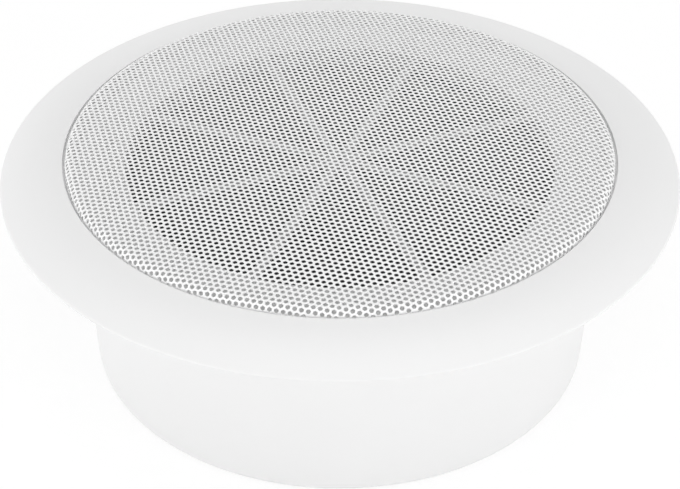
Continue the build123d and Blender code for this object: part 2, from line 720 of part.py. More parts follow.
with BuildPart() as terminal_block:
    with BuildSketch(Plane.XY.offset(block_z)):
        with Locations((0, BLOCK_Y)):
            RectangleRounded(BLOCK_WIDTH, BLOCK_LENGTH, BLOCK_CORNER)
    extrude(amount=BLOCK_HEIGHT)
    with BuildSketch(Plane.XZ.offset(-BLOCK_Y)):
        with Locations((-pole_x, tunnel_z), (pole_x, tunnel_z)):
            Circle(BLOCK_TUNNEL_DIA / 2)
    extrude(amount=BLOCK_LENGTH, both=True, mode=Mode.SUBTRACT)
    with BuildSketch(Plane.XY.offset(block_top_z)):
        with Locations((-pole_x, BLOCK_Y), (pole_x, BLOCK_Y)):
            Circle(BLOCK_WELL_DIA / 2)
    extrude(amount=tunnel_z - block_top_z, mode=Mode.SUBTRACT)
    with BuildSketch(Plane.XY.offset(block_top_z)):
        with Locations((0, BLOCK_Y)):
            Circle(head_well_r)
    extrude(amount=head_seat_z - block_top_z, mode=Mode.SUBTRACT)
    with BuildSketch(Plane.XY.offset(head_seat_z)):
        with Locations((0, BLOCK_Y)):
            Circle(pass_r)
    extrude(amount=block_z - head_seat_z, mode=Mode.SUBTRACT)
terminal_block.part.label = "terminal_block"
export_step(terminal_block.part, "parts/terminal_block.step")

with BuildPart() as clamp_screws:
    with BuildSketch(Plane.XY.offset(clamp_base_z)):
        with Locations((-pole_x, BLOCK_Y), (pole_x, BLOCK_Y)):
            Circle(CLAMP_SCREW_DIA / 2)
    extrude(amount=block_top_z - clamp_base_z - CLAMP_SCREW_RECESS)
clamp_screws.part.label = "clamp_screws"
export_step(clamp_screws.part, "parts/clamp_screws.step")

with BuildPart() as block_screw:
    with BuildSketch(Plane.XY.offset(head_seat_z)):
        with Locations((0, BLOCK_Y)):
            Circle(SCREW_HEAD_DIA / 2)
    extrude(amount=SCREW_HEAD_HEIGHT)
    with BuildSketch(Plane.XY.offset(head_seat_z)):
        with Locations((0, BLOCK_Y)):
            Circle(thread_r)
    extrude(amount=floor_z - head_seat_z)
block_screw.part.label = "block_screw"
export_step(block_screw.part, "parts/block_screw.step")


def swept_wire(points, diameter):
    """Round wire along straight runs joined by tangent arcs, inside a BuildPart."""
    runs = [Vector(*b) - Vector(*a) for a, b in zip(points, points[1:])]
    radii = []
    for before, after in zip(runs, runs[1:]):
        half_turn = math.radians(before.get_angle(after)) / 2
        radii.append(BEND_SHARE * min(before.length, after.length) / math.tan(half_turn))
    print("bend radii", [round(radius, 1) for radius in radii])
    with BuildLine() as path:
        FilletPolyline(*points, radius=radii)
    start = Plane(origin=path.line @ 0, z_dir=path.line % 0)
    with BuildSketch(start) as section:
        Circle(diameter / 2)
    sweep(section.sketch, path=path.line)


def lead_route(side):
    """Route of one lead, from its tunnel in the block to the foot of its solder tag."""
    return [
        (side * pole_x, BLOCK_Y - LEAD_TUCK, tunnel_z),
        (side * pole_x, BLOCK_Y - LEAD_OUT, tunnel_z),
        (side * (pole_x + LEAD_SPREAD), BLOCK_Y - LEAD_OUT - LEAD_LEAN, tunnel_z + LEAD_CLIMB),
        (side * TAG_SPACING / 2, tag_mid_y, tag_base_z - LEAD_DROP),
        (side * TAG_SPACING / 2, tag_mid_y, tag_base_z),
    ]


# Leads from the terminal block to the driver's tags
with BuildPart() as lead_red:
    swept_wire(lead_route(1), WIRE_DIA)
lead_red.part.label = "lead_red"
export_step(lead_red.part, "parts/lead_red.step")

with BuildPart() as lead_black:
    swept_wire(lead_route(-1), WIRE_DIA)
lead_black.part.label = "lead_black"
export_step(lead_black.part, "parts/lead_black.step")

# Tinsel leads from the board to the back of the cone
tinsel_x = TAG_SPACING / 2
tinsel_y = cone_r - TINSEL_REACH
tinsel_start_z = board_base_z + TINSEL_START
tinsel_end_z = cone_z(math.hypot(tinsel_x, tinsel_y)) - TINSEL_DIA
with BuildPart() as tinsel_leads:
    for side in (-1, 1):
        swept_wire(
            [
                (side * tinsel_x, board_in_y - TINSEL_CLEARANCE, tinsel_start_z),
                (side * tinsel_x, (board_in_y + tinsel_y) / 2, tinsel_start_z - TINSEL_SAG),
                (side * tinsel_x, tinsel_y, tinsel_end_z),
            ],
            TINSEL_DIA,
        )
tinsel_leads.part.label = "tinsel_leads"
export_step(tinsel_leads.part, "parts/tinsel_leads.step")

# Rubber bush in the cable entry
bush_r = ENTRY_HOLE_DIA / 2 - GROMMET_CLEARANCE
with BuildPart() as cable_grommet:
    with BuildSketch(Plane.XZ.offset(-entry_out_y - GROMMET_FLANGE_THICKNESS)):
        with Locations((0, ENTRY_HEIGHT)):
            Circle(bush_r)
    extrude(amount=ENTRY_PAD_THICKNESS + 2 * GROMMET_FLANGE_THICKNESS)
    for face_y, way in ((entry_out_y, -1), (entry_out_y - ENTRY_PAD_THICKNESS, 1)):
        with BuildSketch(Plane.XZ.offset(-face_y)):
            with Locations((0, ENTRY_HEIGHT)):
                Circle(GROMMET_FLANGE_DIA / 2)
        extrude(amount=way * GROMMET_FLANGE_THICKNESS)
    with BuildSketch(Plane.XZ.offset(-entry_out_y - GROMMET_FLANGE_THICKNESS)):
        with Locations((0, ENTRY_HEIGHT)):
            Circle(GROMMET_BORE_DIA / 2)
    extrude(amount=ENTRY_PAD_THICKNESS + 2 * GROMMET_FLANGE_THICKNESS, mode=Mode.SUBTRACT)
cable_grommet.part.label = "cable_grommet"
export_step(cable_grommet.part, "parts/cable_grommet.step")
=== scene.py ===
"""Looks of an in-ceiling loudspeaker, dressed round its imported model.

Metres, +Z out through the grille. The moulded frame, the pressed and perforated grille, the screws and the
flexing parts of the driver are modelled here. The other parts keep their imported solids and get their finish.
"""
import json
import math
from collections import namedtuple

import bmesh
import bpy
from mathutils import Euler, Matrix, Vector
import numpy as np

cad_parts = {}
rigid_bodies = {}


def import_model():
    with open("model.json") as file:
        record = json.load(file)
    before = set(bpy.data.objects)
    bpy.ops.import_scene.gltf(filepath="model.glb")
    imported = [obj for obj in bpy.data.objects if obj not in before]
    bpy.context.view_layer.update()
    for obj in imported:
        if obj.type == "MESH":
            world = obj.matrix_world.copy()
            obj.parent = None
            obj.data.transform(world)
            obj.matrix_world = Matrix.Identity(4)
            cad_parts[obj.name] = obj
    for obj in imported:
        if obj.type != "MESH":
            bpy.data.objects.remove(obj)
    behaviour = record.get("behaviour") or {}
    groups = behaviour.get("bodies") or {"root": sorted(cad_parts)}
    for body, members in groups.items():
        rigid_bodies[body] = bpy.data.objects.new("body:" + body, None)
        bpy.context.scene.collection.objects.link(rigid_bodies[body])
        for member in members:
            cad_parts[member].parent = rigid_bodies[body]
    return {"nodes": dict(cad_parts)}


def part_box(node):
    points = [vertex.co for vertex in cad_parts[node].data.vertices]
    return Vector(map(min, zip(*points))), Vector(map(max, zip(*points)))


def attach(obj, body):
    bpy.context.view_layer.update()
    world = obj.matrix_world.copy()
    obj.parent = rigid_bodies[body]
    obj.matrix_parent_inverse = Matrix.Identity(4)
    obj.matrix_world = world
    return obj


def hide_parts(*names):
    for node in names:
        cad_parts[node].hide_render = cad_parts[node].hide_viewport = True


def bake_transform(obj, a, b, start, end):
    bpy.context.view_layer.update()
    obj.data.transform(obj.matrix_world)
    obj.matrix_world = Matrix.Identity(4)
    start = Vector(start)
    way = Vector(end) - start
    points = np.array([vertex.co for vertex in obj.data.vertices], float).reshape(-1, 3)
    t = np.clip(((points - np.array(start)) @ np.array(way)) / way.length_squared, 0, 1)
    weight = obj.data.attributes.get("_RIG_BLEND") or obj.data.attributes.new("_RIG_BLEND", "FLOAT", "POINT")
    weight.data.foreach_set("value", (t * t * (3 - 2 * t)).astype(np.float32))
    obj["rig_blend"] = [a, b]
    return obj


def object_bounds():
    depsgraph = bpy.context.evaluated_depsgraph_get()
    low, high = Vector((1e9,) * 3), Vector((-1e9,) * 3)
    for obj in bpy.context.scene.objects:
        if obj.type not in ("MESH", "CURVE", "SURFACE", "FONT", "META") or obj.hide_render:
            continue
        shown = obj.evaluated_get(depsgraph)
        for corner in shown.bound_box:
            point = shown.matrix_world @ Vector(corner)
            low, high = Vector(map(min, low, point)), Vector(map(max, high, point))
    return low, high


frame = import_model()
CAD_LOW, CAD_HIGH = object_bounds()
GRILLE_LOW, GRILLE_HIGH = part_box("grille")
NODES = frame["nodes"]
MM = 0.001

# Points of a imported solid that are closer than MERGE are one, and those within NEAR of a line lie on it
MERGE = 0.001 * MM
NEAR = 0.05 * MM
# Edges that turn by more than this stay sharp
SHARP = math.radians(35)
SCREW_SHARP = math.radians(40)

# Lamps: angle round the speaker from the camera's side, angle above the floor, and watts
LAMP_AIM = 50 * MM
LAMPS = (
    ("front_right", 45, 8, 5.8),
    ("front_left", -45, 8, 4.45),
    ("right", 90, 8, 2.3),
    ("left", -90, 8, 3.32),
    ("back", 180, 8, 1.13),
    ("back_left", -135, 8, 0.57),
    ("front_left_upper", -45, 30, 0.7),
    ("front_right_upper", 45, 30, 0.2),
    ("right_upper", 90, 60, 1.43),
    ("left_upper", -90, 60, 0.58),
    ("top", 0, 90, 2.75),
)

bl_info = {
    "name": "In-ceiling speaker",
    "version": (1, 0, 0),
    "blender": (4, 5, 0),
    "location": "View3D > Sidebar > Speaker",
    "description": "Models and finishes the parts of an in-ceiling speaker",
    "category": "Object",
}


def length(name, description, default):
    """A property that holds a length in metres."""
    return bpy.props.FloatProperty(
        name=name, description=description, default=default, unit="LENGTH", precision=5
    )


def angle(name, description, degrees):
    """A property that holds an angle, given here in degrees."""
    return bpy.props.FloatProperty(
        name=name, description=description, default=math.radians(degrees), subtype="ANGLE"
    )


def colour(name, description, red, green, blue):
    """A property that holds a surface colour."""
    return bpy.props.FloatVectorProperty(
        name=name,
        description=description,
        default=(red, green, blue, 1),
        size=4,
        subtype="COLOR",
        min=0,
        max=1,
    )


def count(name, description, default):
    """A property that holds a number of like things."""
    return bpy.props.IntProperty(name=name, description=description, default=default)


def amount(name, description, default):
    """A property that holds a plain number."""
    return bpy.props.FloatProperty(name=name, description=description, default=default)


class SpeakerGrille(bpy.types.PropertyGroup):
    """Sizes of the pressed grille."""

    hole_pitch: length("Hole pitch", "Distance between neighbouring holes", 2.0023 * MM)
    hole_width: length("Hole width", "Diameter of a hole at the sheet's front", 1.49 * MM)
    hole_back: length("Hole back", "Diameter of a hole at the sheet's back", 1.32 * MM)
    row_angle: angle("Row angle", "Direction of the rows of holes", -15.92)
    first_x: length("First hole X", "Place of one hole beside the grille's middle", 1.892 * MM)
    first_y: length("First hole Y", "Place of one hole beside the grille's middle", 0.5 * MM)
    sheet: length("Sheet", "Thickness of the sheet", 0.25 * MM)
    bend: length("Rim bend", "Radius of the rolled rim", 3.2 * MM)
    spread: length("Spread", "How far the rim stands out beyond the packed one", 0.3 * MM)
    bow: length("Bow", "Fall of the dome, square share", 0.66 * MM)
    edge_bow: length("Edge bow", "Further fall of the dome towards its rim", 2.86 * MM)
    pierced_radius: length("Pierced radius", "How far out on the flat sheet the holes reach", 87.0 * MM)
    coated_rim: length("Coated rim", "How far in from the rim the sheet's back is coated too", 5.0 * MM)
    rim_steps: count("Rim steps", "Corners of the sheet's round edge", 192)


class SpeakerFrame(bpy.types.PropertyGroup):
    """Sizes of the moulded frame's flange and spokes."""

    seat: length("Seat", "Height of the ceiling's face above the floor", 64.0 * MM)
    face: length("Face", "Radius at which the sloped face starts", 86.4 * MM)
    packed_edge: length("Packed edge", "Thickness of the packed flange's edge", 2.1 * MM)
    edge: length("Edge", "Thickness of the flange's edge", 0.75 * MM)
    spokes: count("Spokes", "Spokes across the opening", 8)
    spoke_level: length("Spoke level", "Height of the spokes' upper faces", 67.4 * MM)
    packed_spoke: length("Packed spoke", "Width of a packed spoke", 3.4 * MM)
    spoke_top: length("Spoke top", "Width of a spoke's upper face", 2.2 * MM)
    packed_depth: length("Packed depth", "Depth of a packed spoke", 2.0 * MM)
    spoke_depth: length("Spoke depth", "Depth of a spoke and of the hub", 0.8 * MM)
    opening: length("Opening", "Radius inside the opening's wall", 67.0 * MM)


class SpeakerScrews(bpy.types.PropertyGroup):
    """Sizes of the screws."""

    can_reach: length("Can reach", "Length of a can screw under its head", 5.6 * MM)
    head: length("Head", "Diameter of a screw's head", 5.6 * MM)
    head_steps: count("Head steps", "Corners of a head's round edge", 32)
    head_height: length("Head height", "Height of a screw's head", 2.0 * MM)
    head_round: length("Head rounding", "Rounding of the head's upper edge", 1.2 * MM)
    thread: length("Thread", "Diameter of the thread", 2.9 * MM)
    core: length("Core", "Diameter at the root of the thread", 2.3 * MM)
    turn: length("Turn", "Distance between turns of the thread", 0.8 * MM)
    cross: length("Cross", "Length of each arm pair of the cross recess", 3.2 * MM)
    cross_width: length("Cross width", "Width of an arm of the cross recess", 0.75 * MM)
    cross_depth: length("Cross depth", "Depth of the cross recess", 1.2 * MM)
    slot: length("Slot", "Width and depth of the clamp screws' slot", 0.7 * MM)
    clamp_steps: count("Clamp steps", "Corners of a clamp screw's round edge", 28)


class SpeakerFlex(bpy.types.PropertyGroup):
    """Fixed margins of the driver's flexing parts."""

    surround_foot: length("Surround foot", "Width of the surround's glued edges", 2.2 * MM)
    spider_collar: length("Spider collar", "Width of the spider's glued inner edge", 1.0 * MM)
    spider_foot: length("Spider foot", "Width of the spider's glued outer edge", 6.5 * MM)


class SpeakerFinish(bpy.types.PropertyGroup):
    """Colours of the parts."""

    plastic: colour("Plastic", "Moulded frame and can", 0.85, 0.85, 0.85)
    # Painted shade: the spokes and the hub are one moulding with the frame, and this darker copy of its
    # plastic paints in their shade under the grille
    shaded_plastic: colour("Shaded plastic", "Spokes and hub, which let some light through", 0.58, 0.58, 0.58)
    paint: colour("Paint", "Powder coat on the grille", 0.93, 0.93, 0.93)
    bare_sheet: colour("Bare sheet", "Uncoated back of the grille", 0.15, 0.15, 0.15)
    paper: colour("Paper", "Cone and dust cap", 0.028, 0.028, 0.03)
    rubber: colour("Rubber", "Surround and cable bush", 0.018, 0.018, 0.018)
    foam: colour("Foam", "Seals", 0.03, 0.03, 0.032)
    cloth: colour("Cloth", "Treated cotton of the spider", 0.42, 0.29, 0.1)
    black_paint: colour("Black paint", "Pressed basket", 0.022, 0.022, 0.024)
    ferrite: colour("Ferrite", "Ceramic magnet", 0.035, 0.035, 0.038)
    zinc: colour("Zinc", "Plated steel of screws and magnet plates", 0.62, 0.61, 0.58)
    tin: colour("Tin", "Tags, rivet and clamp screws", 0.68, 0.66, 0.6)
    copper: colour("Copper", "Voice coil and braided leads", 0.6, 0.26, 0.11)
    foil: colour("Foil", "Former of the voice coil", 0.75, 0.75, 0.77)
    board: colour("Board", "Phenolic terminal board", 0.16, 0.055, 0.018)
    block: colour("Block", "Moulded terminal block", 0.74, 0.73, 0.68)
    red_wire: colour("Red wire", "Insulation of one lead", 0.45, 0.012, 0.01)
    black_wire: colour("Black wire", "Insulation of the other lead", 0.012, 0.012, 0.012)


class SpeakerStage(bpy.types.PropertyGroup):
    """Camera, light and floor."""

    camera_rise: angle("Camera rise", "Angle of the view above the floor", 35.94)
    camera_distance: length("Camera distance", "From the camera to the point it looks at", 683.7 * MM)
    aim_height: length("Aim height", "Height of the point that the camera looks at", 34.1 * MM)
    lens: amount("Lens", "Focal length in millimetres", 112.2)
    sky: amount("Sky", "Strength of the light from all round", 0.415)
    lamp_distance: length("Lamp distance", "From each lamp to the speaker", 1200 * MM)
    lamp_size: length("Lamp size", "Diameter of each lamp", 900 * MM)
    shadow_reach: length("Shadow reach", "How far out the floor still shows the shadow", 500 * MM)
    shadow_white: amount("Shadow white", "Share of plain white in the floor beside the speaker", 0.75)
    floor_size: length("Floor size", "Side of the square floor", 12.0)
    floor_drop: length("Floor drop", "Gap under the can, so that it doesn't meet the floor", 0.1 * MM)
    floor_tint: colour("Floor tint", "Paper of the floor", 0.9, 0.9, 0.9)
    floor_glow: amount("Floor glow", "Strength of the floor's plain white", 1.08)


def deselect():
    """Leaves object mode with nothing selected."""
    if bpy.context.object and bpy.context.object.mode != "OBJECT":
        bpy.ops.object.mode_set(mode="OBJECT")
    bpy.ops.object.select_all(action="DESELECT")


def activate(piece):
    """Makes one object the only selected and active one."""
    deselect()
    piece.select_set(True)
    bpy.context.view_layer.objects.active = piece


def edit(piece):
    """Opens one object in edit mode with nothing selected."""
    activate(piece)
    bpy.ops.object.mode_set(mode="EDIT")
    bpy.ops.mesh.select_all(action="DESELECT")


def pick(piece, kind, test):
    """Selects the vertices, edges or faces of an object in edit mode whose middle passes a test."""
    mesh = bmesh.from_edit_mesh(piece.data)
    bpy.context.tool_settings.mesh_select_mode = (kind == "verts", kind == "edges", kind == "faces")
    bpy.ops.mesh.select_all(action="DESELECT")
    for part in getattr(mesh, kind):
        corners = [part] if kind == "verts" else part.verts
        middle = sum((corner.co for corner in corners), Vector()) / len(corners)
        if test(middle, part):
            part.select_set(True)
    mesh.select_flush_mode()
    bmesh.update_edit_mesh(piece.data)


def apply_modifiers(piece):
    """Applies every modifier of an object, in order."""
    activate(piece)
    for modifier in list(piece.modifiers):
        bpy.ops.object.modifier_apply(modifier=modifier.name)


def heading(degrees):
    """Unit vector in the plan at an angle from X."""
    turn = math.radians(degrees)
    return Vector((math.cos(turn), math.sin(turn), 0))


def node(tree, kind, **settings):
    """Adds a node to a tree and sets its options and its unlinked inputs."""
    made = tree.nodes.new(kind)
    for name, value in settings.items():
        if name == "inputs":
            for socket, content in value.items():
                made.inputs[socket].default_value = content
        else:
            setattr(made, name, value)
    return made


def group_tree(name, inputs, outputs):
    """Empty shader node group with named inputs and outputs, and its two end nodes."""
    tree = bpy.data.node_groups.new(name, "ShaderNodeTree")
    for socket, kind, default in inputs:
        made = tree.interface.new_socket(socket, in_out="INPUT", socket_type=kind)
        if default is not None:
            made.default_value = default
    for socket, kind in outputs:
        tree.interface.new_socket(socket, in_out="OUTPUT", socket_type=kind)
    return tree, tree.nodes.new("NodeGroupInput"), tree.nodes.new("NodeGroupOutput")


def moulded_grain():
    """Fine spark-eroded grain over slow, faint changes of tone."""
    tree, start, end = group_tree(
        "moulded_grain",
        [("Vector", "NodeSocketVector", None), ("Grain size", "NodeSocketFloat", 1400.0)],
        [("Grain", "NodeSocketFloat"), ("Tone", "NodeSocketFloat")],
    )
    fine = node(tree, "ShaderNodeTexNoise", inputs={"Detail": 3.0, "Roughness": 0.6})
    slow = node(tree, "ShaderNodeTexNoise", inputs={"Scale": 22.0, "Detail": 2.0})
    for texture in (fine, slow):
        tree.links.new(start.outputs["Vector"], texture.inputs["Vector"])
    tree.links.new(start.outputs["Grain size"], fine.inputs["Scale"])
    tree.links.new(fine.outputs["Fac"], end.inputs["Grain"])
    tree.links.new(slow.outputs["Fac"], end.inputs["Tone"])
    return tree


def pressed_fibre():
    """Felted fibres: stretched noise in two directions, with lighter flecks."""
    tree, start, end = group_tree(
        "pressed_fibre",
        [("Vector", "NodeSocketVector", None), ("Fibre size", "NodeSocketFloat", 500.0)],
        [("Relief", "NodeSocketFloat"), ("Fleck", "NodeSocketFloat")],
    )
    layers = []
    for turn in (0.4, 1.9):
        mapping = node(tree, "ShaderNodeMapping", inputs={"Scale": (1.0, 0.22, 1.0)})
        mapping.inputs["Rotation"].default_value = (0, 0, turn)
        fibre = node(tree, "ShaderNodeTexNoise", inputs={"Detail": 4.0, "Roughness": 0.7})
        tree.links.new(start.outputs["Vector"], mapping.inputs["Vector"])
        tree.links.new(mapping.outputs["Vector"], fibre.inputs["Vector"])
        tree.links.new(start.outputs["Fibre size"], fibre.inputs["Scale"])
        layers.append(fibre)
    both = node(tree, "ShaderNodeMath", operation="ADD")
    for index, layer in enumerate(layers):
        tree.links.new(layer.outputs["Fac"], both.inputs[index])
    fleck = node(tree, "ShaderNodeMapRange", inputs={"From Min": 1.12, "From Max": 1.3})
    tree.links.new(both.outputs["Value"], fleck.inputs["Value"])
    tree.links.new(both.outputs["Value"], end.inputs["Relief"])
    tree.links.new(fleck.outputs["Result"], end.inputs["Fleck"])
    return tree


def metal_brushing():
    """Fine streaks round the speaker's axis over mottled plating."""
    tree, start, end = group_tree(
        "metal_brushing",
        [("Vector", "NodeSocketVector", None), ("Streak size", "NodeSocketFloat", 900.0)],
        [("Streak", "NodeSocketFloat"), ("Mottle", "NodeSocketFloat")],
    )
    mapping = node(tree, "ShaderNodeMapping", inputs={"Scale": (0.12, 0.12, 1.0)})
    streak = node(tree, "ShaderNodeTexNoise", inputs={"Detail": 2.0})
    mottle = node(tree, "ShaderNodeTexNoise", inputs={"Scale": 160.0, "Detail": 3.0})
    tree.links.new(start.outputs["Vector"], mapping.inputs["Vector"])
    tree.links.new(mapping.outputs["Vector"], streak.inputs["Vector"])
    tree.links.new(start.outputs["Streak size"], streak.inputs["Scale"])
    tree.links.new(start.outputs["Vector"], mottle.inputs["Vector"])
    tree.links.new(streak.outputs["Fac"], end.inputs["Streak"])
    tree.links.new(mottle.outputs["Fac"], end.inputs["Mottle"])
    return tree


# How a finish looks apart from its colour: its pattern and the pattern's scale, the roughness, the height of
# the relief, how far the two shades lie from the colour, and the share of bare metal
Surface = namedtuple("Surface", "pattern scale roughness relief spread metallic", defaults=[0.0])
SURFACES = {
    "moulded_white": Surface(moulded_grain, 1500.0, 0.42, 0.015 * MM, 0.006),
    # Painted shade: the frame's plastic again, given a darker colour for the spokes and the hub
    "thin_white": Surface(moulded_grain, 1500.0, 0.42, 0.015 * MM, 0.006),
    "seal_foam": Surface(moulded_grain, 900.0, 0.85, 0.15 * MM, 0.3),
    "matt_rubber": Surface(moulded_grain, 1100.0, 0.62, 0.02 * MM, 0.2),
    "grille_powder_coat": Surface(moulded_grain, 2200.0, 0.5, 0.02 * MM, 0.01),
    "grille_bare_steel": Surface(metal_brushing, 900.0, 0.6, 0.01 * MM, 0.1),
    "cone_pulp": Surface(pressed_fibre, 420.0, 0.8, 0.05 * MM, 0.35),
    "treated_cotton": Surface(pressed_fibre, 900.0, 0.75, 0.06 * MM, 0.2),
    "basket_black": Surface(moulded_grain, 1300.0, 0.5, 0.02 * MM, 0.2),
    "ground_ferrite": Surface(moulded_grain, 700.0, 0.55, 0.04 * MM, 0.25),
    "former_foil": Surface(metal_brushing, 1500.0, 0.35, 0.005 * MM, 0.05, 1.0),
    "enamelled_copper": Surface(metal_brushing, 2500.0, 0.3, 0.03 * MM, 0.15, 1.0),
    "zinc_plate": Surface(metal_brushing, 900.0, 0.38, 0.008 * MM, 0.08, 1.0),
    "screw_zinc": Surface(metal_brushing, 900.0, 0.36, 0.008 * MM, 0.08, 1.0),
    "clamp_tin": Surface(metal_brushing, 1200.0, 0.32, 0.006 * MM, 0.08, 1.0),
    "tinned_brass": Surface(metal_brushing, 1200.0, 0.3, 0.006 * MM, 0.08, 1.0),
    "phenolic_board": Surface(pressed_fibre, 800.0, 0.5, 0.01 * MM, 0.15),
    "moulded_block": Surface(moulded_grain, 1500.0, 0.45, 0.015 * MM, 0.02),
    "lead_red_insulation": Surface(moulded_grain, 1800.0, 0.35, 0.006 * MM, 0.08),
    "lead_black_insulation": Surface(moulded_grain, 1800.0, 0.35, 0.006 * MM, 0.08),
}
GLOSS_SPREAD = 0.05
RELIEF_STRENGTH = 0.35
EFFECTS = {}


def effect(build):
    """The node group that a function builds, made once."""
    if build.__name__ not in EFFECTS:
        EFFECTS[build.__name__] = build()
    return EFFECTS[build.__name__]


def finish(name, tint):
    """Material whose colour, gloss and relief follow one of the shared effects.

    The effect's first output is the relief, and its second the mask between two shades of the tint.
    """
    surface = SURFACES[name]
    made = bpy.data.materials.new(name)
    made.use_nodes = True
    tree = made.node_tree
    shader = tree.nodes["Principled BSDF"]
    shader.inputs["Metallic"].default_value = surface.metallic
    place = tree.nodes.new("ShaderNodeTexCoord")
    pattern = node(tree, "ShaderNodeGroup", node_tree=effect(surface.pattern))
    pattern.inputs[1].default_value = surface.scale
    shades = node(tree, "ShaderNodeMix", data_type="RGBA")
    for socket, share in ((6, 1 - surface.spread), (7, 1 + surface.spread)):
        shades.inputs[socket].default_value = [min(1.0, part * share) for part in tint[:3]] + [1]
    gloss = node(tree, "ShaderNodeMapRange")
    gloss.inputs["To Min"].default_value = surface.roughness - GLOSS_SPREAD
    gloss.inputs["To Max"].default_value = surface.roughness + GLOSS_SPREAD
    bump = node(tree, "ShaderNodeBump", inputs={"Strength": RELIEF_STRENGTH, "Distance": surface.relief})
    tree.links.new(place.outputs["Object"], pattern.inputs["Vector"])
    tree.links.new(pattern.outputs[1], shades.inputs[0])
    tree.links.new(shades.outputs[2], shader.inputs["Base Color"])
    tree.links.new(pattern.outputs[1], gloss.inputs["Value"])
    tree.links.new(gloss.outputs["Result"], shader.inputs["Roughness"])
    tree.links.new(pattern.outputs[0], bump.inputs["Height"])
    tree.links.new(bump.outputs["Normal"], shader.inputs["Normal"])
    return made


def coat(piece, material):
    """Gives an object one material all over."""
    piece.data.materials.clear()
    piece.data.materials.append(material)


def coat_nodes(material, *names):
    """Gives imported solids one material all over."""
    for name in names:
        coat(NODES[name], material)


def loose_copy(solid, name):
    """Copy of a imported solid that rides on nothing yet."""
    activate(NODES[solid])
    bpy.ops.object.duplicate()
    bpy.ops.object.parent_clear(type="CLEAR_KEEP_TRANSFORM")
    bpy.ops.object.transform_apply(location=True, rotation=True, scale=True)
    piece = bpy.context.object
    piece.name = piece.data.name = name
    edit(piece)
    bpy.ops.mesh.select_all(action="SELECT")
    bpy.ops.mesh.remove_doubles(threshold=MERGE)
    bpy.ops.mesh.customdata_custom_splitnormals_clear()
    bpy.ops.object.mode_set(mode="OBJECT")
    bpy.ops.object.shade_smooth_by_angle(angle=SHARP)
    for mark in [key for key in piece.keys() if key.startswith("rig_")]:
        del piece[mark]
    return piece


class SPEAKER_OT_mould_frame(bpy.types.Operator):
    """Draw the moulded frame's flange down to a thinner edge and slim its spokes"""

    bl_idname = "speaker.mould_frame"
    bl_label = "Mould frame"

    def execute(self, context):
        sizes = context.scene.speaker_frame
        piece = loose_copy("front_frame", "moulded_frame")
        self.slim_spokes(piece, sizes)
        slope = piece.vertex_groups.new(name="slope")
        for vert in piece.data.vertices:
            way = (math.hypot(vert.co.x, vert.co.y) - sizes.face) / (CAD_HIGH.x - sizes.face)
            height = min((vert.co.z - sizes.seat) / sizes.packed_edge, 1)
            if way > 0 and height > 0:
                slope.add([vert.index], way * height, "REPLACE")
        lower = piece.modifiers.new("lower", "DISPLACE")
        lower.direction = "Z"
        lower.mid_level = 0
        lower.strength = sizes.edge - sizes.packed_edge
        lower.vertex_group = slope.name
        normals = piece.modifiers.new("normals", "WEIGHTED_NORMAL")
        normals.keep_sharp = True
        apply_modifiers(piece)
        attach(piece, "housing")
        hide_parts("front_frame")
        return {"FINISHED"}

    def slim_spokes(self, piece, sizes):
        """Narrows each spoke on top, so that its sides slope, and makes the spokes and the hub less deep."""
        step = 360 / sizes.spokes
        share = 1 - sizes.spoke_top / sizes.packed_spoke
        for vert in piece.data.vertices:
            turn = math.degrees(math.atan2(vert.co.y, vert.co.x))
            across = heading((math.floor(turn / step) + 0.5) * step + 90)
            side = vert.co.dot(across)
            on_edge = abs(abs(side) - sizes.packed_spoke / 2) < NEAR
            if on_edge and abs(vert.co.z - sizes.spoke_level) < NEAR:
                vert.co -= across * side * share
            depth = sizes.spoke_level - vert.co.z
            at_foot = abs(depth - sizes.packed_depth) < NEAR
            if at_foot and (on_edge or vert.co.xy.length < sizes.opening):
                vert.co.z = sizes.spoke_level - sizes.spoke_depth


